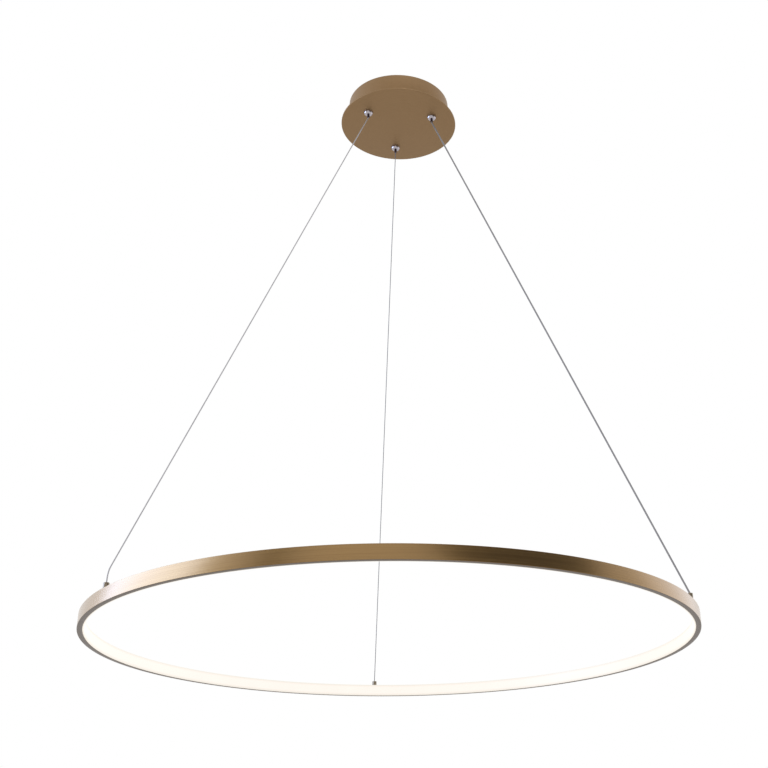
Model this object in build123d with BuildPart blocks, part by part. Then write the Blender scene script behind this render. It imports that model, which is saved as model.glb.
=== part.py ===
# LED ring pendant: a slim ring of light hung on three cables from a round canopy.
# The origin is on the ceiling, on the canopy's axis. +Z points up, so everything hangs at negative Z.
# The side that faces the viewer is -Y. Lengths are in millimetres, angles in degrees.
import os
from math import cos, degrees, pi, radians, sin, sqrt

from build123d import *

os.makedirs("parts", exist_ok=True)

# Ring: an aluminium channel that opens towards the middle, rolled to a circle and closed by a splice
ring_diameter = 1000.0
profile_height = 21.0
profile_wall = 1.5
seam_width = 0.3
seam_angle = 60.0
splice_length = 80.0
splice_height = 4.5
splice_depth = 4.0

# Light: an opal strip with a tongue pressed into the channel, and a face as high as the ring;
# a circuit strip on the channel's back, LEDs on the circuit
tongue_depth = 1.5
diffuser_face_thickness = 1.5
strip_height = 8.0
strip_thickness = 1.0
led_count = 60
led_width = 3.5
led_height = 2.8
led_depth = 0.7

# Barrels on the ring's top, pressed on the cables, with a stud through the top flange and a nut under it
barrel_diameter = 8.8
barrel_height = 8.0
stud_diameter = 3.0
stud_below_nut = 0.6
barrel_nut_width = 5.5
barrel_nut_height = 2.4

# Canopy: a pressed drum with a wider disc under it
canopy_height = 47.0
drum_diameter = 200.0
drum_wall = 1.5
drum_floor = 2.0
disc_diameter = 230.0
disc_thickness = 3.0

# Hanging length from the disc's underside to the ring's underside
hanging_drop = 1048.0

# Mounting bracket: a flat bar with both ends bent down
bracket_width = 25.0
bracket_thickness = 2.0
bracket_bend = 3.0
ear_height = 18.0
ear_screw_depth = 10.0
slot_spacing = 120.0
slot_length = 20.0
slot_width = 5.0

# Screws through the drum's side
side_screw_diameter = 4.0
side_screw_head_diameter = 8.0
side_screw_head_height = 2.0
side_screw_length = 12.0

# Cables. The left one carries the power: it is thicker, and turns upright above its barrel
cable_angles = {"left": 210.0, "right": 330.0, "rear": 90.0}
steel_cable_diameter = 1.5
power_cable_diameter = 2.0
power_bend_height = 16.0
power_bend_radius = 64.0
power_turn_radius = 6.0
cable_tail = 9.0

# Cable grippers: their distance from the drum's wall, and heights from the disc's underside
gripper_wall_gap = 17.5
stem_diameter = 10.0
stem_top = 18.0
head_diameter = 18.0
head_edge = 1.0
head_round = 5.5
head_angle = 75.0
head_floor_top = -4.6
nozzle_diameter = 5.0
nozzle_bottom = -13.0
sleeve_diameter = 5.8
sleeve_top = 4.0
gripper_nut_width = 16.0
gripper_nut_height = 5.0

# LED driver, on the drum's floor between the two front grippers
driver_length = 86.0
driver_width = 40.0
driver_height = 27.0
driver_corner = 3.0
driver_cover_length = 16.0
driver_cover_step = 0.8
lead_entry_height = 24.0
lead_entry_depth = 4.0
supply_entry_width = 8.0

# Clearances
thread_clearance = 0.05
running_clearance = 0.08
body_clearance = 0.3
hole_clearance = 0.2
seat_gap = 0.1
rolled_gap = 0.5

# Heights that follow from the sizes above
disc_bottom_z = -canopy_height
floor_bottom_z = disc_bottom_z + disc_thickness
floor_top_z = floor_bottom_z + drum_floor
ring_bottom_z = disc_bottom_z - hanging_drop
ring_middle_z = ring_bottom_z + profile_height / 2
ring_top_z = ring_bottom_z + profile_height
inner_top_z = ring_top_z - profile_wall - seat_gap
strip_middle_z = inner_top_z - splice_height - seat_gap - strip_height / 2
barrel_top_z = ring_top_z + barrel_height
nozzle_bottom_z = disc_bottom_z + nozzle_bottom

# Radii that follow from the sizes above. The channel is as deep as the barrels' nuts need
ring_radius = ring_diameter / 2
channel_back_radius = ring_radius - profile_wall
tongue_back_radius = channel_back_radius - barrel_nut_width - 2 * hole_clearance
face_back_radius = tongue_back_radius - tongue_depth
mouth_radius = face_back_radius + rolled_gap
barrel_circle_radius = (tongue_back_radius + channel_back_radius) / 2
strip_front_radius = channel_back_radius - rolled_gap - strip_thickness
drum_inner_radius = drum_diameter / 2 - drum_wall
gripper_circle_radius = drum_inner_radius - gripper_wall_gap - gripper_nut_width / 2
cable_diameters = {side: steel_cable_diameter for side in cable_angles}
cable_diameters["left"] = power_cable_diameter


# The point at a given radius and angle about the lamp's axis, and at a given height
def polar_point(radius, angle, height):
    return (radius * cos(radians(angle)), radius * sin(radians(angle)), height)


# The upright plane through a point, with its X outwards from the lamp's axis and its Y upwards
def radial_plane(point, angle):
    return Plane(point, x_dir=polar_point(1, angle, 0), z_dir=polar_point(1, angle - 90, 0))


# A round cord along a route of straight runs, with an arc of the given radius at each corner
def cord_tube(name, route, diameter, bend_radius):
    with BuildPart() as tube:
        with BuildLine() as line:
            FilletPolyline(*route, radius=bend_radius)
        with BuildSketch(Plane(route[0], z_dir=Vector(*route[1]) - Vector(*route[0]))):
            Circle(diameter / 2)
        sweep()
    length = sum(edge.length for edge in line.edges())
    ratio = tube.part.volume / (pi * diameter**2 / 4 * length)
    print(f"{name}: length {length:.1f}, volume ratio {ratio:.4f}, bend radius {bend_radius}")
    return tube.part


# A hexagon nut on a plane, with a flat square to the given angle
def hexagon_nut(plane, width, bore_diameter, height, angle):
    with BuildPart() as nut:
        with BuildSketch(plane):
            RegularPolygon(width / 2, 6, major_radius=False, rotation=angle + 30)
            Circle(bore_diameter / 2, mode=Mode.SUBTRACT)
        extrude(amount=height)
    return nut.part


# Names a finished piece and writes it
def save(piece, name):
    piece.label = name
    export_step(piece, f"parts/{name}.step")


# Joins separate solids into one named group and writes it
def save_group(pieces, name):
    with BuildPart() as group:
        for piece in pieces:
            add(piece)
    save(group.part, name)


# Channel of the ring, drawn as its section and turned about the lamp's axis
with BuildPart() as ring_profile:
    with BuildSketch(Plane.XZ):
        with Locations((ring_radius, ring_middle_z)):
            Rectangle(ring_radius - mouth_radius, profile_height, align=(Align.MAX, Align.CENTER))
        with Locations((channel_back_radius, ring_middle_z)):
            Rectangle(
                channel_back_radius - mouth_radius,
                profile_height - 2 * profile_wall,
                align=(Align.MAX, Align.CENTER),
                mode=Mode.SUBTRACT,
            )
    revolve(axis=Axis.Z)
    with BuildSketch(Plane.XY.offset(ring_top_z)):
        for angle in cable_angles.values():
            with Locations(polar_point(barrel_circle_radius, angle, 0)):
                Circle(stud_diameter / 2 + hole_clearance)
    extrude(amount=-profile_wall, mode=Mode.SUBTRACT)
    with BuildSketch(radial_plane((0, 0, ring_middle_z), seam_angle)):
        with Locations((ring_radius, 0)):
            Rectangle(3 * (ring_radius - mouth_radius), 2 * profile_height)
    extrude(amount=seam_width / 2, both=True, mode=Mode.SUBTRACT)
save(ring_profile.part, "ring_profile")

# Key that bridges the ring's seam, in the channel's upper part, curved like the channel
splice_span = degrees(splice_length / ring_radius)
with BuildPart() as splice_key:
    with BuildSketch(radial_plane((0, 0, 0), seam_angle - splice_span / 2)):
        with Locations((barrel_circle_radius, inner_top_z)):
            Rectangle(splice_depth, splice_height, align=(Align.CENTER, Align.MAX))
    revolve(axis=Axis.Z, revolution_arc=splice_span)
save(splice_key.part, "splice_key")

# Opal strip: the tongue closes the channel's mouth, the face covers the edges of its flanges
with BuildPart() as diffuser:
    with BuildSketch(Plane.XZ):
        with Locations((face_back_radius, ring_middle_z)):
            Rectangle(
                tongue_depth,
                profile_height - 2 * (profile_wall + seat_gap),
                align=(Align.MIN, Align.CENTER),
            )
            Rectangle(diffuser_face_thickness, profile_height, align=(Align.MAX, Align.CENTER))
    revolve(axis=Axis.Z)
save(diffuser.part, "diffuser")

# Circuit strip on the channel's back, below the splice key
with BuildPart() as led_strip:
    with BuildSketch(Plane.XZ):
        with Locations((strip_front_radius, strip_middle_z)):
            Rectangle(strip_thickness, strip_height, align=(Align.MIN, Align.CENTER))
    revolve(axis=Axis.Z)
save(led_strip.part, "led_strip")

# LEDs all round the strip, facing the middle of the ring
with BuildPart() as leds:
    with BuildSketch(Plane.XY.offset(strip_middle_z)):
        with PolarLocations(strip_front_radius - body_clearance, led_count):
            Rectangle(led_depth, led_width, align=(Align.MAX, Align.CENTER))
    extrude(amount=led_height / 2, both=True)
save(leds.part, "leds")

# Barrels on the ring, each with its stud through the top flange
stud_length = profile_wall + seat_gap + barrel_nut_height + stud_below_nut
barrel_nuts = []
for side, angle in cable_angles.items():
    base = Plane(polar_point(barrel_circle_radius, angle, ring_top_z))
    with BuildPart() as barrel:
        with BuildSketch(base):
            Circle(barrel_diameter / 2)
        extrude(amount=barrel_height)
        with BuildSketch(base):
            Circle(stud_diameter / 2)
        extrude(amount=-stud_length)
    save(barrel.part, f"barrel_{side}")
    barrel_nuts.append(
        hexagon_nut(
            Plane(polar_point(barrel_circle_radius, angle, inner_top_z - barrel_nut_height)),
            barrel_nut_width,
            stud_diameter + 2 * thread_clearance,
            barrel_nut_height,
            angle,
        )
    )
save_group(barrel_nuts, "barrel_nuts")

# Free stretches of the cables, cut level where they leave the gripper and where they meet the barrel
for side, angle in cable_angles.items():
    cable_radius = cable_diameters[side] / 2
    start = Vector(*polar_point(gripper_circle_radius, angle, nozzle_bottom_z))
    end = Vector(*polar_point(barrel_circle_radius, angle, barrel_top_z))
    bend = end + Vector(0, 0, power_bend_height) if side == "left" else end
    direction = (bend - start).normalized()
    over_length = 4 * cable_radius
    if side == "left":
        route = [tuple(point) for point in (start - direction * over_length, bend, end)]
        tube = cord_tube("cable_left", route, 2 * cable_radius, power_bend_radius)
    else:
        with BuildPart() as straight_tube:
            with BuildSketch(Plane(start - direction * over_length, z_dir=direction)):
                Circle(cable_radius)
            extrude(amount=(end - start).length + 2 * over_length)
        tube = straight_tube.part
    with BuildPart() as cable:
        add(tube)
        split(bisect_by=Plane.XY.offset(nozzle_bottom_z), keep=Keep.BOTTOM)
        split(bisect_by=Plane.XY.offset(barrel_top_z), keep=Keep.TOP)
    print(f"cable_{side}: straight distance {(end - start).length:.1f}")
    save(cable.part, f"cable_{side}")

# Disc under the drum, with the grippers' holes
gripper_points = [polar_point(gripper_circle_radius, angle, 0) for angle in cable_angles.values()]
with BuildPart() as canopy_disc:
    with BuildSketch(Plane.XY.offset(disc_bottom_z)):
        Circle(disc_diameter / 2)
    extrude(amount=disc_thickness)
    with BuildSketch(Plane.XY.offset(disc_bottom_z)):
        with Locations(*gripper_points):
            Circle(stem_diameter / 2 + hole_clearance)
    extrude(amount=disc_thickness, mode=Mode.SUBTRACT)
save(canopy_disc.part, "canopy_disc")

# Drum: a cup that is open to the ceiling
with BuildPart() as canopy_drum:
    with BuildSketch(Plane.XY.offset(floor_bottom_z)):
        Circle(drum_diameter / 2)
    extrude(amount=-floor_bottom_z)
    with BuildSketch(Plane.XY.offset(floor_top_z)):
        Circle(drum_inner_radius)
    extrude(amount=-floor_top_z, mode=Mode.SUBTRACT)
    with BuildSketch(Plane.XY.offset(floor_bottom_z)):
        with Locations(*gripper_points):
            Circle(stem_diameter / 2 + hole_clearance)
    extrude(amount=drum_floor, mode=Mode.SUBTRACT)
    with BuildSketch(Plane.YZ):
        with Locations((0, -ear_screw_depth)):
            Circle(side_screw_diameter / 2 + hole_clearance)
    extrude(amount=drum_diameter, both=True, mode=Mode.SUBTRACT)
save(canopy_drum.part, "canopy_drum")

# Mounting bracket, whose ears lie just inside the drum's wall
ear_face_x = sqrt((drum_inner_radius - body_clearance) ** 2 - (bracket_width / 2) ** 2)
ear_back_x = ear_face_x - bracket_thickness
with BuildPart() as mounting_bracket:
    with BuildSketch(Plane.XZ) as shape:
        Rectangle(2 * ear_face_x, ear_height, align=(Align.CENTER, Align.MAX))
        with Locations((0, -bracket_thickness)):
            Rectangle(2 * ear_back_x, ear_height, align=(Align.CENTER, Align.MAX), mode=Mode.SUBTRACT)
        fillet(shape.vertices().group_by(Axis.Y)[-2], bracket_bend - bracket_thickness)
        fillet(shape.vertices().group_by(Axis.Y)[-1], bracket_bend)
    extrude(amount=bracket_width / 2, both=True)
    with BuildSketch(Plane.XY.offset(-bracket_thickness)):
        with GridLocations(slot_spacing, 0, 2, 1):
            SlotOverall(slot_length, slot_width)
    extrude(amount=bracket_thickness, mode=Mode.SUBTRACT)
    with BuildSketch(Plane.YZ):
        with Locations((0, -ear_screw_depth)):
            Circle(side_screw_diameter / 2 + thread_clearance)
    extrude(amount=drum_diameter, both=True, mode=Mode.SUBTRACT)
save(mounting_bracket.part, "mounting_bracket")

# Side screws that hold the drum on the bracket's ears
with BuildPart() as side_screws:
    for sign in (-1, 1):
        head_point = (sign * (drum_diameter / 2 + seat_gap), 0, -ear_screw_depth)
        head_plane = Plane(head_point, z_dir=(sign, 0, 0))
        with BuildSketch(head_plane):
            Circle(side_screw_head_diameter / 2)
        extrude(amount=side_screw_head_height)
        with BuildSketch(head_plane):
            Circle(side_screw_diameter / 2)
        extrude(amount=-side_screw_length)
save(side_screws.part, "side_screws")

# Cable grippers, from the head under the disc up to the nut on the drum's floor
stem_radius = stem_diameter / 2
nozzle_radius = nozzle_diameter / 2
sleeve_radius = sleeve_diameter / 2
sleeve_bottom = head_floor_top + seat_gap
chamber_radius = sleeve_radius + body_clearance
nut_bottom = disc_thickness + drum_floor

# The head's rounded underside, as points from its edge to its neck
head_points = []
for turn in (0, head_angle / 2, head_angle):
    head_x = head_diameter / 2 - head_round * (1 - cos(radians(turn)))
    head_points.append((head_x, -head_edge - head_round * sin(radians(turn))))
head_bottom = head_points[-1][1]

gripper_bodies = []
gripper_nuts = []
for side, angle in cable_angles.items():
    cable_radius = cable_diameters[side] / 2
    bore_radius = cable_radius + body_clearance
    centre = polar_point(gripper_circle_radius, angle, disc_bottom_z)
    section = radial_plane(centre, angle)
    gripper_axis = Axis(centre, (0, 0, 1))

    # Body: a rounded head below, a threaded stem above, and a bore with a step that the plunger rests on
    with BuildPart() as gripper_body:
        with BuildSketch(section):
            with BuildLine():
                Polyline(
                    (stem_radius, 0),
                    (stem_radius, stem_top),
                    (chamber_radius, stem_top),
                    (chamber_radius, head_floor_top),
                    (nozzle_radius + running_clearance, head_floor_top),
                    (nozzle_radius + running_clearance, head_bottom),
                    *reversed(head_points),
                    (head_diameter / 2, 0),
                    close=True,
                )
            make_face()
        revolve(axis=gripper_axis)
    gripper_bodies.append(gripper_body.part)

    # Release plunger: the nozzle below and a wider sleeve above, which keeps it in
    with BuildPart() as gripper_plunger:
        with BuildSketch(section):
            with BuildLine():
                Polyline(
                    (bore_radius, nozzle_bottom),
                    (nozzle_radius, nozzle_bottom),
                    (nozzle_radius, sleeve_bottom),
                    (sleeve_radius, sleeve_bottom),
                    (sleeve_radius, sleeve_top),
                    (bore_radius, sleeve_top),
                    close=True,
                )
            make_face()
        revolve(axis=gripper_axis)
    save(gripper_plunger.part, f"gripper_plunger_{side}")

    # Nut inside the canopy
    gripper_nuts.append(
        hexagon_nut(
            Plane(centre).offset(nut_bottom),
            gripper_nut_width,
            stem_diameter + 2 * thread_clearance,
            gripper_nut_height,
            angle,
        )
    )

    # Upper end of a steel cable, through the gripper and cut off above it
    if side != "left":
        with BuildPart() as cable_upper:
            with BuildSketch(Plane(centre).offset(nozzle_bottom)):
                Circle(cable_radius)
            extrude(amount=stem_top + cable_tail - nozzle_bottom)
        save(cable_upper.part, f"cable_upper_{side}")
save_group(gripper_bodies, "gripper_bodies")
save_group(gripper_nuts, "gripper_nuts")

# Driver: a case with rounded top edges and a cover at each end, with an entry for the lead
left_x, driver_y, _ = polar_point(gripper_circle_radius, cable_angles["left"], 0)
case_half_length = driver_length / 2 - driver_cover_length
with BuildPart() as driver_case:
    with BuildSketch(Plane.YZ.offset(-case_half_length)) as shape:
        with Locations((driver_y, floor_top_z)):
            Rectangle(
                driver_width - 2 * driver_cover_step,
                driver_height - driver_cover_step,
                align=(Align.CENTER, Align.MIN),
            )
        fillet(shape.vertices().group_by(Axis.Y)[-1], driver_corner)
    extrude(amount=2 * case_half_length)
save(driver_case.part, "driver_case")

cover_entries = {"output": (-1, power_cable_diameter + 2 * hole_clearance), "input": (1, supply_entry_width)}
for end_name, (sign, entry_width) in cover_entries.items():
    end_point = (sign * case_half_length, driver_y, floor_top_z)
    end_plane = Plane(end_point, x_dir=(0, sign, 0), z_dir=(sign, 0, 0))
    with BuildPart() as driver_cover:
        with BuildSketch(end_plane) as shape:
            Rectangle(driver_width, driver_height, align=(Align.CENTER, Align.MIN))
            fillet(shape.vertices().group_by(Axis.Y)[-1], driver_corner)
        extrude(amount=driver_cover_length)
        with BuildSketch(end_plane.offset(driver_cover_length)):
            with Locations((0, lead_entry_height)):
                Rectangle(entry_width, entry_width)
        extrude(amount=-lead_entry_depth, mode=Mode.SUBTRACT)
    save(driver_cover.part, f"driver_cover_{end_name}")

# Upper end of the power cable, through its gripper and over into the driver's output cover
lead_end_z = floor_top_z + lead_entry_height
power_route = [
    (left_x, driver_y, nozzle_bottom_z),
    (left_x, driver_y, lead_end_z),
    (lead_entry_depth - driver_length / 2, driver_y, lead_end_z),
]
power_upper = cord_tube("cable_upper_left", power_route, power_cable_diameter, power_turn_radius)
save(power_upper, "cable_upper_left")
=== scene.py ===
import math

import bmesh
import bpy
from mathutils import Matrix, Vector


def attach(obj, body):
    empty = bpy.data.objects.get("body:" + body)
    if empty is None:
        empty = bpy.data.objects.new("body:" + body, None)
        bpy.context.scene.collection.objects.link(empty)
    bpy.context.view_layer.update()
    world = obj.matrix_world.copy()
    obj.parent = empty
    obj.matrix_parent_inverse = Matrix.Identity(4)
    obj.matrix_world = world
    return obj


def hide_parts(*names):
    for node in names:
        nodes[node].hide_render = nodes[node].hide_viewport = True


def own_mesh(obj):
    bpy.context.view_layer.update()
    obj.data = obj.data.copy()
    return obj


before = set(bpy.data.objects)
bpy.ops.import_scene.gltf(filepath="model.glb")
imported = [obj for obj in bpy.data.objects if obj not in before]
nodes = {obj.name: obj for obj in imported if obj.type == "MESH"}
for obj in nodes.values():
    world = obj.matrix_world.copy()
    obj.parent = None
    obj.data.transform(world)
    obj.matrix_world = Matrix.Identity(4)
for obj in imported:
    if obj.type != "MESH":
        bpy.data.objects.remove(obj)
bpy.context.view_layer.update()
scene = bpy.context.scene
mm = 0.001   # sizes are in millimetres unless a note says otherwise
cableAngles = {"left": 210.0, "right": 330.0, "rear": 90.0}   # degrees about the lamp's axis
cableDiameters = {"left": 2.0, "right": 3.0, "rear": 1.5}
gripperCircle, barrelCircle = 73.0, 495.55   # radii on which the cables start and end
print("frame loaded:", len(nodes), "nodes")

# Edges bent more than sharpAngle degrees stay sharp; a rounding takes at most sideShare of a side; points
# nearer than merge become one and edges shorter than tinyEdge go, both in metres
meshing = {"sharpAngle": 35.0, "roundSteps": 3, "sideShare": 0.45, "merge": 1e-7, "tinyEdge": 1e-8,
           "drillSides": 48}


def keepSharp(mesh, angle):
    mesh.set_sharp_from_angle(angle=math.radians(angle))


# A new object from a bmesh, with smooth faces and sharp edges kept
def newPiece(name, bm):
    mesh = bpy.data.meshes.new(name)
    bm.to_mesh(mesh)
    bm.free()
    mesh.polygons.foreach_set("use_smooth", [True] * len(mesh.polygons))
    keepSharp(mesh, meshing["sharpAngle"])
    piece = bpy.data.objects.new(name, mesh)
    scene.collection.objects.link(piece)
    return piece


# A point in millimetres on a circle about the lamp's axis
def onCircle(radius, angle, z):
    a = math.radians(angle)
    return Vector((radius * math.cos(a), radius * math.sin(a), z))


# A closed section with each corner turned into a small arc; a radius of 0 keeps the corner
def roundCorners(points, radii, steps=meshing["roundSteps"]):
    rounded = []
    for i, (corner, radius) in enumerate(zip(points, radii)):
        here = Vector(corner)
        back, ahead = Vector(points[i - 1]) - here, Vector(points[(i + 1) % len(points)]) - here
        if radius == 0:
            rounded.append(here)
            continue
        reach = radius / math.tan(back.angle(ahead) / 2)
        reach = min(reach, meshing["sideShare"] * back.length, meshing["sideShare"] * ahead.length)
        start, end = here + back.normalized() * reach, here + ahead.normalized() * reach
        for k in range(steps + 1):
            t = k / steps
            rounded.append((1 - t) ** 2 * start + 2 * t * (1 - t) * here + t * t * end)
    return rounded


# A section in millimetres (radius, height), turned about the lamp's axis
def turned(name, section, segments, start=0.0, sweep=360.0):
    bm = bmesh.new()
    whole = sweep == 360.0
    rows = []
    for j in range(segments if whole else segments + 1):
        a = math.radians(start + sweep * j / segments)
        rows.append([bm.verts.new((p[0] * mm * math.cos(a), p[0] * mm * math.sin(a), p[1] * mm))
                     for p in section])
    for j in range(segments):
        now, after = rows[j], rows[(j + 1) % len(rows)]
        for i in range(len(section)):
            k = (i + 1) % len(section)
            bm.faces.new((now[i], after[i], after[k], now[k]))
    if not whole:
        bm.faces.new(rows[0])
        bm.faces.new(rows[-1])
    bmesh.ops.remove_doubles(bm, verts=bm.verts, dist=meshing["merge"])
    bmesh.ops.dissolve_degenerate(bm, edges=bm.edges, dist=meshing["tinyEdge"])
    bmesh.ops.recalc_face_normals(bm, faces=bm.faces)
    return newPiece(name, bm)


def evaluatedMesh(source):
    bpy.context.view_layer.update()
    depsgraph = bpy.context.evaluated_depsgraph_get()
    return bpy.data.meshes.new_from_object(source.evaluated_get(depsgraph), depsgraph=depsgraph)


# The evaluated mesh of an object as a plain new piece; the object itself goes away
def settled(source, name):
    mesh = evaluatedMesh(source)
    mesh.name = name
    bpy.data.objects.remove(source)
    piece = bpy.data.objects.new(name, mesh)
    scene.collection.objects.link(piece)
    return piece


# A piece without the volume of a drill, which goes away too
def cutAway(piece, drill, name, useSelf=False):
    cut = piece.modifiers.new("cut", "BOOLEAN")
    cut.operation, cut.solver, cut.object = "DIFFERENCE", "EXACT", drill
    cut.use_self = useSelf
    done = settled(piece, name)
    bpy.data.objects.remove(drill)
    return done


# Round holes through a piece, each with its place, axis, radius and depth
def drilled(piece, name, holes):
    bm = bmesh.new()
    for place, axis, radius, depth in holes:
        turn = Vector(axis).to_track_quat("Z", "Y").to_matrix().to_4x4()
        bmesh.ops.create_cone(bm, cap_ends=True, segments=meshing["drillSides"], radius1=radius * mm,
                              radius2=radius * mm, depth=depth * mm,
                              matrix=Matrix.Translation(Vector(place) * mm) @ turn)
    done = cutAway(piece, newPiece(name + "Drill", bm), name)
    keepSharp(done.data, meshing["sharpAngle"])
    return done


# A piece's material and body, and the CAD nodes that it replaces; the slot name is not used
def dress(piece, material, body, slotName, *replaced):
    piece.data.materials.clear()
    piece.data.materials.append(material)
    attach(piece, body)
    if replaced:
        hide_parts(*replaced)


# Sets a node's inputs by their names; an underscore stands for a space
def setInputs(node, inputs):
    for key, value in inputs.items():
        node.inputs[key.replace("_", " ")].default_value = value


def addNode(tree, kind, operation=None, **inputs):
    node = tree.nodes.new(kind)
    if operation:
        node.operation = operation
    setInputs(node, inputs)
    return node


# A node tree with its sockets, its input node and its output node
def newTree(name, kind, inputs, outputs):
    tree = bpy.data.node_groups.new(name, kind)
    for direction, sockets in (("INPUT", inputs), ("OUTPUT", outputs)):
        for label, socket in sockets.items():
            tree.interface.new_socket(label, in_out=direction, socket_type="NodeSocket" + socket)
    return tree, tree.nodes.new("NodeGroupInput"), tree.nodes.new("NodeGroupOutput")


# Geometry Nodes: copies of a unit piece round the lamp's axis
def makeCopiesTree():
    tree, entry, leave = newTree(
        "copiesRoundAxis", "GeometryNodeTree",
        {"Unit": "Geometry", "Count": "Int", "Radius": "Float", "First Angle": "Float", "Finish": "Material"},
        {"Copies": "Geometry"})
    line = addNode(tree, "GeometryNodeMeshLine", Offset=(0, 0, 0))
    index = addNode(tree, "GeometryNodeInputIndex")
    share = addNode(tree, "ShaderNodeMath", "DIVIDE")
    angle = addNode(tree, "ShaderNodeMath", "MULTIPLY_ADD")
    angle.inputs[1].default_value = math.tau
    spin = addNode(tree, "ShaderNodeCombineXYZ")
    turn = addNode(tree, "FunctionNodeEulerToRotation")
    reach = addNode(tree, "ShaderNodeCombineXYZ")
    swing = addNode(tree, "FunctionNodeRotateVector")
    place = addNode(tree, "GeometryNodeSetPosition")
    copies = addNode(tree, "GeometryNodeInstanceOnPoints")
    real = addNode(tree, "GeometryNodeRealizeInstances")
    finish = addNode(tree, "GeometryNodeSetMaterial")
    link = tree.links.new
    link(entry.outputs["Count"], line.inputs["Count"])
    link(index.outputs[0], share.inputs[0])
    link(entry.outputs["Count"], share.inputs[1])
    link(share.outputs[0], angle.inputs[0])
    link(entry.outputs["First Angle"], angle.inputs[2])
    link(angle.outputs[0], spin.inputs["Z"])
    link(spin.outputs[0], turn.inputs[0])
    link(entry.outputs["Radius"], reach.inputs["X"])
    link(reach.outputs[0], swing.inputs["Vector"])
    link(turn.outputs[0], swing.inputs["Rotation"])
    link(line.outputs[0], place.inputs["Geometry"])
    link(swing.outputs[0], place.inputs["Offset"])
    link(place.outputs[0], copies.inputs["Points"])
    link(entry.outputs["Unit"], copies.inputs["Instance"])
    link(turn.outputs[0], copies.inputs["Rotation"])
    link(copies.outputs[0], real.inputs[0])
    link(real.outputs[0], finish.inputs["Geometry"])
    link(entry.outputs["Finish"], finish.inputs["Material"])
    link(finish.outputs[0], leave.inputs[0])
    return tree


# Geometry Nodes: strands laid round a path, or one round sheath where there is a single strand
def makeStrandsTree():
    tree, entry, leave = newTree(
        "strandsAlongPath", "GeometryNodeTree",
        {"Path": "Geometry", "Step": "Float", "Strands": "Int", "Laid Radius": "Float", "Lay Length": "Float",
         "Strand Radius": "Float", "Sides": "Int", "Finish": "Material"},
        {"Cord": "Geometry"})
    resample = addNode(tree, "GeometryNodeResampleCurve")
    resample.mode = "LENGTH"
    several = addNode(tree, "GeometryNodeDuplicateElements")
    several.domain = "SPLINE"
    share = addNode(tree, "ShaderNodeMath", "DIVIDE")
    along = addNode(tree, "GeometryNodeSplineParameter")
    turns = addNode(tree, "ShaderNodeMath", "DIVIDE")
    both = addNode(tree, "ShaderNodeMath", "ADD")
    angle = addNode(tree, "ShaderNodeMath", "MULTIPLY")
    angle.inputs[1].default_value = math.tau
    cosine = addNode(tree, "ShaderNodeMath", "COSINE")
    sine = addNode(tree, "ShaderNodeMath", "SINE")
    normal = addNode(tree, "GeometryNodeInputNormal")
    tangent = addNode(tree, "GeometryNodeInputTangent")
    side = addNode(tree, "ShaderNodeVectorMath", "CROSS_PRODUCT")
    outward = addNode(tree, "ShaderNodeVectorMath", "SCALE")
    sideways = addNode(tree, "ShaderNodeVectorMath", "SCALE")
    total = addNode(tree, "ShaderNodeVectorMath", "ADD")
    shift = addNode(tree, "ShaderNodeVectorMath", "SCALE")
    place = addNode(tree, "GeometryNodeSetPosition")
    ring = addNode(tree, "GeometryNodeCurvePrimitiveCircle")
    tube = addNode(tree, "GeometryNodeCurveToMesh", Fill_Caps=True)
    real = addNode(tree, "GeometryNodeRealizeInstances")
    finish = addNode(tree, "GeometryNodeSetMaterial")
    link = tree.links.new
    link(entry.outputs["Path"], resample.inputs["Curve"])
    link(entry.outputs["Step"], resample.inputs["Length"])
    link(resample.outputs[0], several.inputs["Geometry"])
    link(entry.outputs["Strands"], several.inputs["Amount"])
    link(several.outputs["Duplicate Index"], share.inputs[0])
    link(entry.outputs["Strands"], share.inputs[1])
    link(along.outputs["Length"], turns.inputs[0])
    link(entry.outputs["Lay Length"], turns.inputs[1])
    link(share.outputs[0], both.inputs[0])
    link(turns.outputs[0], both.inputs[1])
    link(both.outputs[0], angle.inputs[0])
    link(angle.outputs[0], cosine.inputs[0])
    link(angle.outputs[0], sine.inputs[0])
    link(tangent.outputs[0], side.inputs[0])
    link(normal.outputs[0], side.inputs[1])
    link(normal.outputs[0], outward.inputs[0])
    link(cosine.outputs[0], outward.inputs["Scale"])
    link(side.outputs[0], sideways.inputs[0])
    link(sine.outputs[0], sideways.inputs["Scale"])
    link(outward.outputs[0], total.inputs[0])
    link(sideways.outputs[0], total.inputs[1])
    link(total.outputs[0], shift.inputs[0])
    link(entry.outputs["Laid Radius"], shift.inputs["Scale"])
    link(several.outputs["Geometry"], place.inputs["Geometry"])
    link(shift.outputs[0], place.inputs["Offset"])
    link(entry.outputs["Strand Radius"], ring.inputs["Radius"])
    link(entry.outputs["Sides"], ring.inputs["Resolution"])
    link(place.outputs[0], tube.inputs["Curve"])
    link(ring.outputs[0], tube.inputs["Profile Curve"])
    link(tube.outputs[0], real.inputs[0])
    link(real.outputs[0], finish.inputs["Geometry"])
    link(entry.outputs["Finish"], finish.inputs["Material"])
    link(finish.outputs[0], leave.inputs[0])
    return tree


copiesTree, strandsTree = makeCopiesTree(), makeStrandsTree()


# Runs a tree on an object with the named inputs and gives the plain mesh back
def runTree(source, tree, name, values):
    modifier = source.modifiers.new("tree", "NODES")
    modifier.node_group = tree
    for item in tree.interface.items_tree:
        if item.in_out == "INPUT" and item.name in values:
            modifier[item.identifier] = values[item.name]
    piece = settled(source, name)
    piece.data.polygons.foreach_set("use_smooth", [True] * len(piece.data.polygons))
    return piece


# A unit piece once at each cable
def atCables(unit, name, circle, finish):
    first = math.radians(cableAngles["rear"])
    return runTree(unit, copiesTree, name, {
        "Count": len(cableAngles), "Radius": circle * mm, "First Angle": first, "Finish": finish})


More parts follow.
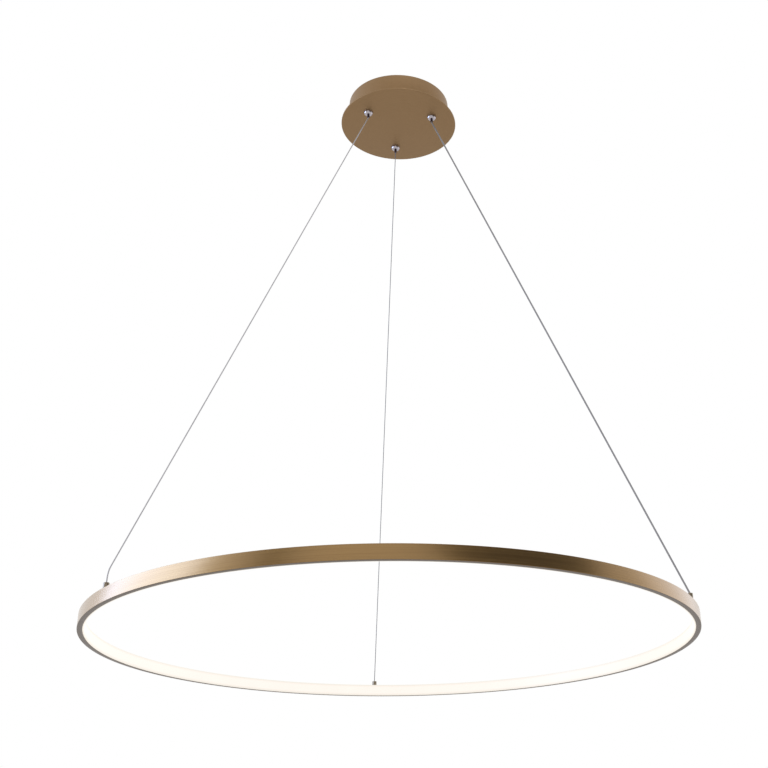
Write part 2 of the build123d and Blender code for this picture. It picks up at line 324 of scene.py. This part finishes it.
# Camera, in metres, fitted to the photograph, which is a crop whose axis is right of the middle
cameraSetup = {
    "place": (-0.1531, -1.9144, -1.5041),
    "forward": (0.1346, 0.8990, 0.4167),
    "up": (-0.0418, -0.4150, 0.9089),
    "focalPixels": 1158.5,
    "imageWidth": 768,
    "axisColumn": 468.9,
    "sensorWidth": 36.0,
    "clip": (0.05, 60.0),
}


def makeCamera(setup):
    data = bpy.data.cameras.new("camera")
    camera = bpy.data.objects.new("camera", data)
    scene.collection.objects.link(camera)
    back = -Vector(setup["forward"]).normalized()
    up = Vector(setup["up"])
    up = (up - up.dot(back) * back).normalized()
    turn = Matrix((up.cross(back), up, back)).transposed().to_4x4()
    camera.matrix_world = Matrix.Translation(setup["place"]) @ turn
    data.sensor_width = setup["sensorWidth"]
    data.lens = setup["focalPixels"] / setup["imageWidth"] * setup["sensorWidth"]
    data.shift_x = 0.5 - setup["axisColumn"] / setup["imageWidth"]
    data.clip_start, data.clip_end = setup["clip"]
    scene.camera = camera


makeCamera(cameraSetup)
print("camera placed")


# Shader group: streaks of brushing that run round the lamp's axis
def makeBrushGroup():
    group, entry, leave = newTree("brushedRound", "ShaderNodeTree",
                                  {"Along": "Float", "Across": "Float"}, {"Streak": "Float"})
    coords = addNode(group, "ShaderNodeTexCoord")
    split = addNode(group, "ShaderNodeSeparateXYZ")
    flat = addNode(group, "ShaderNodeVectorMath", "MULTIPLY")
    flat.inputs[1].default_value = (1, 1, 0)
    radius = addNode(group, "ShaderNodeVectorMath", "LENGTH")
    unit = addNode(group, "ShaderNodeVectorMath", "NORMALIZE")
    circle = addNode(group, "ShaderNodeVectorMath", "SCALE")
    height = addNode(group, "ShaderNodeMath", "MULTIPLY")
    lift = addNode(group, "ShaderNodeCombineXYZ")
    total = addNode(group, "ShaderNodeVectorMath", "ADD")
    depth = addNode(group, "ShaderNodeMath", "MULTIPLY")
    fine = addNode(group, "ShaderNodeTexNoise", Scale=1.0, Detail=3.0, Roughness=0.6)
    fine.noise_dimensions = "4D"
    link = group.links.new
    link(coords.outputs["Object"], split.inputs[0])
    link(coords.outputs["Object"], flat.inputs[0])
    link(flat.outputs[0], radius.inputs[0])
    link(flat.outputs[0], unit.inputs[0])
    link(unit.outputs[0], circle.inputs[0])
    link(entry.outputs["Along"], circle.inputs["Scale"])
    link(split.outputs["Z"], height.inputs[0])
    link(entry.outputs["Across"], height.inputs[1])
    link(height.outputs[0], lift.inputs["Z"])
    link(circle.outputs[0], total.inputs[0])
    link(lift.outputs[0], total.inputs[1])
    link(radius.outputs["Value"], depth.inputs[0])
    link(entry.outputs["Across"], depth.inputs[1])
    link(total.outputs[0], fine.inputs["Vector"])
    link(depth.outputs[0], fine.inputs["W"])
    link(fine.outputs[0], leave.inputs["Streak"])
    return group


# Shader group: fine grain and wide clouds of moulded, plated or painted surfaces
def makeSpeckleGroup():
    group, entry, leave = newTree("fineSpeckle", "ShaderNodeTree", {"Scale": "Float"},
                                  {"Grain": "Float", "Cloud": "Float"})
    coords = addNode(group, "ShaderNodeTexCoord")
    fine = addNode(group, "ShaderNodeTexNoise", Detail=3.0, Roughness=0.65)
    cloud = addNode(group, "ShaderNodeTexNoise", Scale=22.0, Detail=3.0, Roughness=0.5)
    link = group.links.new
    link(coords.outputs["Object"], fine.inputs["Vector"])
    link(entry.outputs["Scale"], fine.inputs["Scale"])
    link(coords.outputs["Object"], cloud.inputs["Vector"])
    link(fine.outputs[0], leave.inputs["Grain"])
    link(cloud.outputs[0], leave.inputs["Cloud"])
    return group


brushGroup, speckleGroup = makeBrushGroup(), makeSpeckleGroup()
maskRange = {"colour": (0.32, 0.68), "rough": (0.3, 0.7)}   # the values of a mask that are spread out


# A material with fixed shader inputs only
def plainMaterial(name, **inputs):
    material = bpy.data.materials.new(name)
    material.use_nodes = True
    setInputs(material.node_tree.nodes["Principled BSDF"], inputs)
    return material


# A material whose colour, roughness and relief follow one mask of a group; bump is strength and metres
def maskedMaterial(name, group, groupInputs, mask, dark, light, rough, bump, **constants):
    material = plainMaterial(name, **constants)
    tree = material.node_tree
    shader = tree.nodes["Principled BSDF"]
    source = tree.nodes.new("ShaderNodeGroup")
    source.node_tree = group
    setInputs(source, groupInputs)
    ramp = addNode(tree, "ShaderNodeValToRGB")
    for element, position, colour in zip(ramp.color_ramp.elements, maskRange["colour"], (dark, light)):
        element.position = position
        element.color = (*colour, 1)
    spread = maskRange["rough"]
    roughness = addNode(tree, "ShaderNodeMapRange", From_Min=spread[0], From_Max=spread[1],
                        To_Min=rough[0], To_Max=rough[1])
    relief = addNode(tree, "ShaderNodeBump", Strength=bump[0], Distance=bump[1])
    link = tree.links.new
    link(source.outputs[mask], ramp.inputs[0])
    link(source.outputs[mask], roughness.inputs["Value"])
    link(source.outputs[mask], relief.inputs["Height"])
    link(ramp.outputs[0], shader.inputs["Base Color"])
    link(roughness.outputs[0], shader.inputs["Roughness"])
    link(relief.outputs[0], shader.inputs["Normal"])
    return material


ringBrass = maskedMaterial("ringBrass", brushGroup, {"Along": 2.2, "Across": 1400.0}, "Streak",
                           dark=(0.248, 0.139, 0.043), light=(0.328, 0.195, 0.067),
                           rough=(0.29, 0.37), bump=(0.012, 0.0002), Metallic=1.0, Coat_Roughness=0.25)
canopyGold = maskedMaterial("canopyGold", brushGroup, {"Along": 7.0, "Across": 900.0}, "Streak",
                            dark=(0.254, 0.153, 0.070), light=(0.290, 0.179, 0.086),
                            rough=(0.44, 0.53), bump=(0.03, 0.0002),
                            Metallic=0.85, Coat_Weight=0.05, Coat_Roughness=0.3)
barrelBronze = maskedMaterial("barrelBronze", brushGroup, {"Along": 7.0, "Across": 900.0}, "Streak",
                              dark=(0.232, 0.188, 0.132), light=(0.272, 0.222, 0.160),
                              rough=(0.32, 0.42), bump=(0.03, 0.0002), Metallic=0.9)
chromeFinish = maskedMaterial("chromeFinish", speckleGroup, {"Scale": 900.0}, "Cloud",
                              dark=(0.44, 0.40, 0.425), light=(0.50, 0.465, 0.485),
                              rough=(0.08, 0.16), bump=(0.02, 0.0001), Metallic=1.0)
nozzleNickel = maskedMaterial("nozzleNickel", speckleGroup, {"Scale": 900.0}, "Grain",
                              dark=(0.060, 0.042, 0.058), light=(0.095, 0.072, 0.090),
                              rough=(0.28, 0.40), bump=(0.05, 0.0001), Metallic=0.9)
ropeSteel = maskedMaterial("ropeSteel", speckleGroup, {"Scale": 500.0}, "Cloud",
                           dark=(0.23, 0.222, 0.232), light=(0.30, 0.29, 0.30),
                           rough=(0.46, 0.58), bump=(0.03, 0.0001), Metallic=0.7)
coatGrey = maskedMaterial("coatGrey", speckleGroup, {"Scale": 600.0}, "Cloud",
                          dark=(0.235, 0.228, 0.238), light=(0.270, 0.263, 0.273),
                          rough=(0.38, 0.50), bump=(0.03, 0.0001))
sheathGrey = maskedMaterial("sheathGrey", speckleGroup, {"Scale": 700.0}, "Cloud",
                            dark=(0.385, 0.375, 0.395), light=(0.44, 0.43, 0.45),
                            rough=(0.35, 0.48), bump=(0.03, 0.0001))
circuitWhite = maskedMaterial("circuitWhite", speckleGroup, {"Scale": 800.0}, "Grain",
                              dark=(0.80, 0.80, 0.77), light=(0.87, 0.87, 0.85),
                              rough=(0.40, 0.55), bump=(0.03, 0.0001))
ledYellow = maskedMaterial("ledYellow", speckleGroup, {"Scale": 1500.0}, "Grain",
                           dark=(0.85, 0.62, 0.14), light=(0.94, 0.76, 0.26),
                           rough=(0.22, 0.35), bump=(0.05, 0.0001))
zincPlate = maskedMaterial("zincPlate", speckleGroup, {"Scale": 260.0}, "Grain",
                           dark=(0.48, 0.49, 0.50), light=(0.62, 0.63, 0.63),
                           rough=(0.44, 0.58), bump=(0.06, 0.0002), Metallic=1.0)
driverWhite = maskedMaterial("driverWhite", speckleGroup, {"Scale": 1100.0}, "Grain",
                             dark=(0.74, 0.74, 0.72), light=(0.82, 0.82, 0.80),
                             rough=(0.46, 0.62), bump=(0.12, 0.0002))
opalLit = maskedMaterial("opalLit", speckleGroup, {"Scale": 300.0}, "Cloud",
                         dark=(0.195, 0.185, 0.155), light=(0.215, 0.205, 0.175),
                         rough=(0.45, 0.55), bump=(0.01, 0.0001))


# The opal's light, which falls off towards the strip's upper and lower edge; heights in metres
opalGlow = {"middle": -1.0845, "fullTo": 0.0050, "edgeAt": 0.0105, "strength": 0.85,
            "bright": (1.0, 0.900, 0.84), "edge": (0.83, 0.78, 0.71)}


def lightOpal(material, g):
    tree = material.node_tree
    shader = tree.nodes["Principled BSDF"]
    coords = addNode(tree, "ShaderNodeTexCoord")
    split = addNode(tree, "ShaderNodeSeparateXYZ")
    offset = addNode(tree, "ShaderNodeMath", "SUBTRACT")
    offset.inputs[1].default_value = g["middle"]
    distance = addNode(tree, "ShaderNodeMath", "ABSOLUTE")
    fall = addNode(tree, "ShaderNodeMapRange", From_Min=g["fullTo"], From_Max=g["edgeAt"])
    fall.interpolation_type = "SMOOTHSTEP"
    mix = addNode(tree, "ShaderNodeMix")
    mix.data_type = "RGBA"
    mix.inputs["A"].default_value, mix.inputs["B"].default_value = (*g["bright"], 1), (*g["edge"], 1)
    link = tree.links.new
    link(coords.outputs["Object"], split.inputs[0])
    link(split.outputs["Z"], offset.inputs[0])
    link(offset.outputs[0], distance.inputs[0])
    link(distance.outputs[0], fall.inputs["Value"])
    link(fall.outputs[0], mix.inputs["Factor"])
    link(mix.outputs["Result"], shader.inputs["Emission Color"])
    shader.inputs["Emission Strength"].default_value = g["strength"]


lightOpal(opalLit, opalGlow)


# The ring's underside: painted shade, a darker colour than the brushed wall and no lacquer on the downward
# faces
undersideShade = {"colour": (0.100, 0.068, 0.044), "lacquer": 0.8, "normalBelow": -0.9}


# Paints shade into the ring's material: where the mask marks a downward face, the darker colour replaces the
# brushed one and the lacquer goes
def paintUndersideShade(material, u):
    tree = material.node_tree
    shader = tree.nodes["Principled BSDF"]
    brushed = shader.inputs["Base Color"].links[0].from_socket
    mask = addNode(tree, "ShaderNodeAttribute")
    mask.attribute_name = "undersideShade"
    mix = addNode(tree, "ShaderNodeMix")
    mix.data_type = "RGBA"
    mix.inputs["B"].default_value = (*u["colour"], 1)
    coat = addNode(tree, "ShaderNodeMapRange", To_Min=u["lacquer"], To_Max=0.0)
    link = tree.links.new
    link(mask.outputs["Fac"], mix.inputs["Factor"])
    link(brushed, mix.inputs["A"])
    link(mix.outputs["Result"], shader.inputs["Base Color"])
    link(mask.outputs["Fac"], coat.inputs["Value"])
    link(coat.outputs[0], shader.inputs["Coat Weight"])


paintUndersideShade(ringBrass, undersideShade)
print("materials made")


# Ring channel with its seam, open towards the middle
ringSizes = {"outer": 500.0, "bottom": -1095.0, "top": -1074.0, "wall": 1.5, "back": 498.5, "mouth": 491.6,
             "seamAngle": 60.0, "seam": 0.3, "edge": 0.35, "innerEdge": 0.15, "segments": 360}


def makeRing(s):
    low, high = s["bottom"] + s["wall"], s["top"] - s["wall"]
    section = [(s["outer"], s["bottom"]), (s["outer"], s["top"]), (s["mouth"], s["top"]), (s["mouth"], high),
               (s["back"], high), (s["back"], low), (s["mouth"], low), (s["mouth"], s["bottom"])]
    radii = [s["edge"]] * 2 + [s["innerEdge"]] * 6
    gap = math.degrees(s["seam"] / s["outer"])
    ring = turned("ringChannel", roundCorners(section, radii), s["segments"],
                  s["seamAngle"] + gap / 2, 360.0 - gap)
    # A mask of the downward faces, which get the painted shade
    under = ring.data.attributes.new("undersideShade", "FLOAT", "FACE")
    under.data.foreach_set("value", [1.0 if face.normal.z < undersideShade["normalBelow"] else 0.0
                                     for face in ring.data.polygons])
    dress(ring, ringBrass, "ring", "ring_brass", "ring_profile")


# Opal strip: a tongue in the channel's mouth and a face as high as the ring
opalSizes = {"front": 489.6, "shoulder": 491.1, "back": 492.6, "bottom": -1095.0, "top": -1074.0,
             "tongueBottom": -1093.4, "tongueTop": -1075.6, "edge": 0.4, "hiddenEdge": 0.2, "segments": 360}


def makeOpal(s):
    section = [(s["back"], s["tongueBottom"]), (s["back"], s["tongueTop"]), (s["shoulder"], s["tongueTop"]),
               (s["shoulder"], s["top"]), (s["front"], s["top"]), (s["front"], s["bottom"]),
               (s["shoulder"], s["bottom"]), (s["shoulder"], s["tongueBottom"])]
    hidden = s["hiddenEdge"]
    radii = [hidden, hidden, 0, hidden, s["edge"], s["edge"], hidden, 0]
    strip = turned("opalStrip", roundCorners(section, radii), s["segments"])
    dress(strip, opalLit, "ring", "opal", "diffuser")


makeRing(ringSizes)
makeOpal(opalSizes)
print("ring made")


# Barrels on the ring, with a rounded rim and a countersink where the cable goes in
barrelSizes = {"radius": 4.4, "bottom": -1074.0, "top": -1066.0, "rim": 0.7, "footEdge": 0.25,
               "sink": 2.2, "sinkDepth": 0.9, "bore": 1.05, "boreDepth": 2.5,
               "stud": 1.5, "studEnd": -1078.6, "studEdge": 0.2, "segments": 64}


def makeBarrels(s):
    sinkEnd, boreEnd = s["top"] - s["sinkDepth"], s["top"] - s["boreDepth"]
    section = [(0, s["studEnd"]), (s["stud"], s["studEnd"]), (s["stud"], s["bottom"]),
               (s["radius"], s["bottom"]), (s["radius"], s["top"]), (s["sink"], s["top"]),
               (s["bore"], sinkEnd), (s["bore"], boreEnd), (0, boreEnd)]
    radii = [0, s["studEdge"], 0, s["footEdge"], s["rim"], 0, 0, 0, 0]
    unit = turned("barrelUnit", roundCorners(section, radii), s["segments"])
    barrels = atCables(unit, "cableBarrels", barrelCircle, barrelBronze)
    dress(barrels, barrelBronze, "ring", "canopy_gold", "barrel_left", "barrel_right", "barrel_rear")


makeBarrels(barrelSizes)


# Canopy drum, open to the ceiling, and the disc under it
canopySizes = {"drum": 100.0, "drumInside": 98.5, "top": 0.0, "floorTop": -42.0, "floorBottom": -44.0,
               "footEdge": 0.5, "rimEdge": 0.4, "insideEdge": 0.8,
               "disc": 115.0, "discBottom": -47.0, "discEdge": 0.7, "discSteps": 4, "stemHole": 5.2,
               "sideHole": 2.2, "sideDepth": -10.0, "drillDepth": 20.0, "segments": 256}


def makeCanopy(s):
    stems = [(onCircle(gripperCircle, angle, s["floorBottom"]), (0, 0, 1), s["stemHole"], s["drillDepth"])
             for angle in cableAngles.values()]
    sides = [((x * s["drum"], 0, s["sideDepth"]), (1, 0, 0), s["sideHole"], s["drillDepth"]) for x in (-1, 1)]
    section = [(0, s["floorBottom"]), (s["drum"], s["floorBottom"]), (s["drum"], s["top"]),
               (s["drumInside"], s["top"]), (s["drumInside"], s["floorTop"]), (0, s["floorTop"])]
    radii = [0, s["footEdge"], s["rimEdge"], s["rimEdge"], s["insideEdge"], 0]
    shell = turned("drumShell", roundCorners(section, radii), s["segments"])
    drum = drilled(shell, "canopyDrum", stems + sides)
    dress(drum, canopyGold, "canopy", "canopy_gold", "canopy_drum")
    section = [(0, s["discBottom"]), (s["disc"], s["discBottom"]), (s["disc"], s["floorBottom"]),
               (0, s["floorBottom"])]
    radii = [0, s["discEdge"], s["discEdge"], 0]
    plate = turned("discPlate", roundCorners(section, radii, s["discSteps"]), s["segments"])
    disc = drilled(plate, "canopyDisc", stems)
    dress(disc, canopyGold, "canopy", "canopy_gold", "canopy_disc")


makeCanopy(canopySizes)


# Side screws of the drum, with a pan head and a cross recess; dome is share of the head's radius and height
sideScrewSizes = {"headBase": 100.1, "head": 4.0, "headHeight": 2.0, "shank": 2.0, "length": 12.0,
                  "dome": ((1.0, 0.5), (0.93, 1.15), (0.74, 1.68), (0.42, 1.94)),
                  "depth": -10.0, "recess": 0.9, "recessReach": 2.3, "recessDepth": 1.0,
                  "segments": 48, "sharpAngle": 40.0}


def makeSideScrews(s):
    dome = [(s["head"] * share, height) for share, height in s["dome"]]
    section = [(0, -s["length"]), (s["shank"], -s["length"]), (s["shank"], 0), (s["head"], 0), *dome,
               (0, s["headHeight"])]
    unit = turned("screwUnit", section, s["segments"])
    bm = bmesh.new()
    long, wide, high = s["recessReach"] * 2 * mm, s["recess"] * mm, s["recessDepth"] * 2 * mm
    for size in ((long, wide, high), (wide, long, high)):
        place = Matrix.Translation((0, 0, s["headHeight"] * mm))
        bmesh.ops.create_cube(bm, size=1.0, matrix=place @ Matrix.Diagonal((*size, 1)))
    unit = cutAway(unit, newPiece("crossDrill", bm), "screwUnit", useSelf=True)
    lying = Matrix.Rotation(math.pi / 2, 4, "Y")
    unit.data.transform(Matrix.Translation((s["headBase"] * mm, 0, s["depth"] * mm)) @ lying)
    screws = runTree(unit, copiesTree, "drumSideScrews", {
        "Count": 2, "Radius": 0.0, "First Angle": 0.0, "Finish": canopyGold})
    keepSharp(screws.data, s["sharpAngle"])
    dress(screws, canopyGold, "canopy", "canopy_gold", "side_screws")


makeSideScrews(sideScrewSizes)
print("canopy made")


# Cable grippers: the domed bodies with their threaded stems
bodySizes = {"discBottom": -47.0, "stem": 5.0, "stemTop": -29.0, "stemChamfer": 0.4, "threadFrom": -36.6,
             "threadPitch": 1.0, "threadDepth": 0.35, "threadMargin": 0.3, "chamber": 3.2,
             "chamberFloor": -51.6, "hole": 2.58, "head": 9.0, "edge": 1.0, "round": 5.5, "roundAngle": 75.0,
             "roundSteps": 12, "segments": 72, "sharpAngle": 28.0}


def makeGripperBodies(s):
    thread = []
    z = s["threadFrom"]
    while z + s["threadPitch"] < s["stemTop"] - s["threadMargin"]:
        thread += [(s["stem"], z), (s["stem"] - s["threadDepth"], z + s["threadPitch"] / 2)]
        z += s["threadPitch"]
    dome = []
    for k in range(s["roundSteps"] + 1):
        a = math.radians(s["roundAngle"] * (1 - k / s["roundSteps"]))
        dome.append((s["head"] - s["round"] * (1 - math.cos(a)),
                     s["discBottom"] - s["edge"] - s["round"] * math.sin(a)))
    neck = dome[0][1]
    section = [(s["stem"], s["discBottom"]), *thread, (s["stem"], z),
               (s["stem"] - s["stemChamfer"], s["stemTop"]), (s["chamber"], s["stemTop"]),
               (s["chamber"], s["chamberFloor"]), (s["hole"], s["chamberFloor"]),
               (s["hole"], neck), *dome, (s["head"], s["discBottom"])]
    unit = turned("bodyUnit", section, s["segments"])
    keepSharp(unit.data, s["sharpAngle"])
    bodies = atCables(unit, "gripperBodies", gripperCircle, chromeFinish)
    dress(bodies, chromeFinish, "canopy", "chrome", "gripper_bodies")


# Their nuts on the drum's floor: hexagons whose corners are cut back above and below
nutSizes = {"width": 16.0, "bottom": -42.0, "height": 5.0, "bore": 5.05, "bevel": 0.7, "cornerShare": 1.02,
            "sides": 72, "sharpAngle": 20.0}


def makeGripperNuts(s):
    half, low, high = s["width"] * mm / 2, s["bottom"] * mm, (s["bottom"] + s["height"]) * mm
    bevel = s["bevel"] * mm
    angles = [math.tau * i / s["sides"] for i in range(s["sides"])]
    hexagon = [half / math.cos(a % (math.pi / 3) - math.pi / 6) for a in angles]
    capped = [min(reach, half * s["cornerShare"]) for reach in hexagon]
    bore = [s["bore"] * mm] * s["sides"]
    levels = ((low, capped), (low + bevel, hexagon), (high - bevel, hexagon), (high, capped),
              (high, bore), (low, bore))
    bm = bmesh.new()
    rings = []
    for z, outline in levels:
        rings.append([bm.verts.new((reach * math.cos(a), reach * math.sin(a), z))
                      for a, reach in zip(angles, outline)])
    for k in range(len(rings)):
        now, after = rings[k], rings[(k + 1) % len(rings)]
        for i in range(s["sides"]):
            j = (i + 1) % s["sides"]
            bm.faces.new((now[i], now[j], after[j], after[i]))
    bmesh.ops.recalc_face_normals(bm, faces=bm.faces)
    nuts = atCables(newPiece("nutUnit", bm), "gripperNuts", gripperCircle, zincPlate)
    keepSharp(nuts.data, s["sharpAngle"])
    dress(nuts, zincPlate, "canopy", "zinc_steel", "gripper_nuts")


# Their nozzles, which slide; each bore follows its cable
nozzleSizes = {"radius": 2.5, "bottom": -60.0, "tipEdge": 0.6, "mouthEdge": 0.3, "clearance": 0.3,
               "sleeve": 2.9, "sleeveBottom": -51.5, "sleeveTop": -43.0, "sleeveEdge": 0.1, "segments": 48}


def makeNozzles(s):
    for side, angle in cableAngles.items():
        bore = cableDiameters[side] / 2 + s["clearance"]
        section = [(bore, s["bottom"]), (s["radius"], s["bottom"]), (s["radius"], s["sleeveBottom"]),
                   (s["sleeve"], s["sleeveBottom"]), (s["sleeve"], s["sleeveTop"]), (bore, s["sleeveTop"])]
        radii = [s["mouthEdge"], s["tipEdge"], 0] + [s["sleeveEdge"]] * 3
        nozzle = turned(f"nozzle_{side}", roundCorners(section, radii), s["segments"])
        nozzle.data.transform(Matrix.Translation(onCircle(gripperCircle, angle, 0) * mm))
        dress(nozzle, nozzleNickel, f"plunger_{side}", "dark_nickel", f"gripper_plunger_{side}")


makeGripperBodies(bodySizes)
makeGripperNuts(nutSizes)
makeNozzles(nozzleSizes)
print("grippers made")


# Cables: on the left the power cable, which turns upright above its barrel, on the right a steel rope
# under a smooth coat, at the rear a bare steel rope; keep is 1 less the ring's travel over their height
cableSizes = {"topCircle": gripperCircle, "top": -60.0, "bottomCircle": barrelCircle, "bottom": -1066.0,
              "diameters": cableDiameters, "bendHeight": 16.0, "keep": 1 - 0.6 / 1.006,
              "strands": 6, "layLength": 11.0, "strandStep": 1.1, "strandSides": 6,
              "smoothStep": 5.0, "smoothSides": 16, "pathOrder": 3, "pathSteps": 24}
cableFinishes = {"left": (sheathGrey, "power_sheath"), "right": (coatGrey, "steel_rope"),
                 "rear": (ropeSteel, "steel_rope")}


# A curve that follows a route, and the points read from it
def makePath(name, points, s):
    curve = bpy.data.curves.new(name, "CURVE")
    curve.dimensions = "3D"
    curve.resolution_u = s["pathSteps"]
    spline = curve.splines.new("NURBS")
    spline.points.add(len(points) - 1)
    for slot, point in zip(spline.points, points):
        slot.co = (*point, 1)
    spline.order_u = min(s["pathOrder"], len(points))
    spline.use_endpoint_u = True
    path = bpy.data.objects.new(name, curve)
    scene.collection.objects.link(path)
    line = evaluatedMesh(path)
    read = [tuple(v.co) for v in line.vertices]
    bpy.data.meshes.remove(line)
    return path, read


def makeCord(name, side, points, s):
    path, read = makePath(name + "Path", points, s)
    diameter = s["diameters"][side] * mm
    values = {"Step": s["smoothStep"] * mm, "Strands": 1, "Laid Radius": 0.0, "Strand Radius": diameter / 2,
              "Sides": s["smoothSides"], "Lay Length": s["layLength"] * mm, "Finish": cableFinishes[side][0]}
    if side == "rear":   # six strands side by side round the place of a seventh
        values.update({"Step": s["strandStep"] * mm, "Strands": s["strands"], "Laid Radius": diameter / 3,
                       "Strand Radius": diameter / 6, "Sides": s["strandSides"]})
    return runTree(path, strandsTree, name, values), read


def makeCables(s):
    for side, angle in cableAngles.items():
        start = onCircle(s["topCircle"], angle, s["top"]) * mm
        end = onCircle(s["bottomCircle"], angle, s["bottom"]) * mm
        points = [start, end]
        if side == "left":
            corner = end + Vector((0, 0, s["bendHeight"] * mm))
            near = corner + (start - corner).normalized() * s["bendHeight"] * mm
            points = [start, near, corner, end]
        kind = "strands" if side == "rear" else "sheath"
        cable, read = makeCord(f"cable_{side}_{kind}", side, points, s)
        material, slotName = cableFinishes[side]
        dress(cable, material, "canopy", slotName, f"cable_{side}")
        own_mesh(cable)


makeCables(cableSizes)


# Upper ends of the cables: the ropes end above their grippers, the power cable turns over into the driver
upperSizes = {"ropeTop": -20.0, "leadHeight": -18.0, "leadNear": -27.0, "leadOut": -54.0, "leadEnd": -39.0,
              "smoothStep": 1.0}


def makeUpperEnds(s):
    for side, angle in cableAngles.items():
        start = onCircle(cableSizes["topCircle"], angle, cableSizes["top"]) * mm
        points = [start, onCircle(cableSizes["topCircle"], angle, s["ropeTop"]) * mm]
        if side == "left":
            near, height, out, end = (s[key] * mm for key in ("leadNear", "leadHeight", "leadOut", "leadEnd"))
            route = ((start.x, near), (start.x, height), (out, height), (end, height))
            points = [start] + [Vector((x, start.y, z)) for x, z in route]
        sizes = {**cableSizes, "smoothStep": s["smoothStep"]}
        piece, _ = makeCord(f"upper_{side}", side, points, sizes)
        material, slotName = cableFinishes[side]
        dress(piece, material, "canopy", slotName, f"cable_upper_{side}")


makeUpperEnds(upperSizes)
print("cables made")


# Nodes that keep their CAD shape
keptFinishes = {"mounting_bracket": zincPlate, "driver_case": driverWhite, "driver_cover_input": driverWhite,
                "driver_cover_output": driverWhite, "splice_key": zincPlate, "led_strip": circuitWhite,
                "leds": ledYellow, "barrel_nuts": zincPlate}
for nodeName, material in keptFinishes.items():
    nodes[nodeName].data.materials.clear()
    nodes[nodeName].data.materials.append(material)


# Studio, in metres: a pale floor below the ring, soft lamps, dark cards, a white surround
# A lamp has its place, size, power, colour and whether it lights matt surfaces, a card its place and size
studio = {"floorHeight": -2.6, "floorRadius": 30.0, "floorSides": 96, "surround": 1.0, "ambient": 0.86,
          "lampAim": (0, 0, -0.8), "flagAim": (0, -0.3, -1.0),
          "lamps": {"leftSoftbox": ((-2.45, 0.085, -0.45), (2.15, 1.7), 35.5, (0.70, 0.98, 1.66), False),
                    "rightSoftbox": ((2.3, 0.7, -0.45), (1.8, 1.8), 6.0, (0.90, 0.96, 1.10), False),
                    "topSoftbox": ((0.5, -0.4, 4.0), (0.6, 0.6), 30.0, (1.0, 1.0, 1.0), True)},
          "flags": {"rightFlag": ((1.45, -2.0, -0.45), (2.5, 2.0)),
                    "leftFlag": ((-1.70, -1.85, -0.45), (0.45, 2.0))}}


def makeFloor(s):
    bm = bmesh.new()
    bmesh.ops.create_circle(bm, cap_ends=True, segments=s["floorSides"], radius=s["floorRadius"],
                            matrix=Matrix.Translation((0, 0, s["floorHeight"])))
    floor = newPiece("floor", bm)
    floor.data.materials.append(plainMaterial("floorPaint", Base_Color=(0.95, 0.95, 0.95, 1), Roughness=0.8,
                                              Specular_IOR_Level=0.1))


# The placing of a thing that looks from one point at another
def aimed(place, target):
    aim = Vector(target) - Vector(place)
    return Matrix.Translation(place) @ aim.to_track_quat("-Z", "Y").to_matrix().to_4x4()


def makeLamps(s):
    for name, (place, size, power, colour, onMatt) in s["lamps"].items():
        lamp = bpy.data.lights.new(name, "AREA")
        lamp.shape, lamp.size, lamp.size_y = "RECTANGLE", *size
        lamp.energy, lamp.color = power, colour
        holder = bpy.data.objects.new(name, lamp)
        scene.collection.objects.link(holder)
        holder.visible_diffuse = onMatt
        holder.matrix_world = aimed(place, s["lampAim"])


# Dark cards that only the metal mirrors
def makeFlags(s):
    flagCloth = plainMaterial("flagCloth", Base_Color=(0.12, 0.12, 0.12, 1), Roughness=0.9)
    for name, (place, size) in s["flags"].items():
        bm = bmesh.new()
        bmesh.ops.create_grid(bm, x_segments=1, y_segments=1, size=0.5,
                              matrix=aimed(place, s["flagAim"]) @ Matrix.Diagonal((*size, 1, 1)))
        flag = newPiece(name, bm)
        flag.data.materials.append(flagCloth)
        flag.visible_camera = flag.visible_diffuse = flag.visible_shadow = flag.visible_transmission = False


# White to the camera, in mirrors and through glass, and a little weaker as light on matt surfaces
def makeSurround(s):
    world = bpy.data.worlds.new("surround")
    scene.world = world
    world.use_nodes = True
    tree = world.node_tree
    tree.nodes.clear()
    light = addNode(tree, "ShaderNodeBackground", Color=(1, 1, 1, 1), Strength=s["ambient"])
    seen = addNode(tree, "ShaderNodeBackground", Color=(1, 1, 1, 1), Strength=s["surround"])
    rays = addNode(tree, "ShaderNodeLightPath")
    either = addNode(tree, "ShaderNodeMath", "ADD")
    every = addNode(tree, "ShaderNodeMath", "ADD")
    either.use_clamp = every.use_clamp = True
    mix = addNode(tree, "ShaderNodeMixShader")
    out = addNode(tree, "ShaderNodeOutputWorld")
    link = tree.links.new
    link(rays.outputs["Is Camera Ray"], either.inputs[0])
    link(rays.outputs["Is Glossy Ray"], either.inputs[1])
    link(either.outputs[0], every.inputs[0])
    link(rays.outputs["Is Transmission Ray"], every.inputs[1])
    link(every.outputs[0], mix.inputs[0])
    link(light.outputs[0], mix.inputs[1])
    link(seen.outputs[0], mix.inputs[2])
    link(mix.outputs[0], out.inputs[0])
    scene.view_settings.view_transform = "Standard"


makeFloor(studio)
makeLamps(studio)
makeFlags(studio)
makeSurround(studio)
print("studio made")
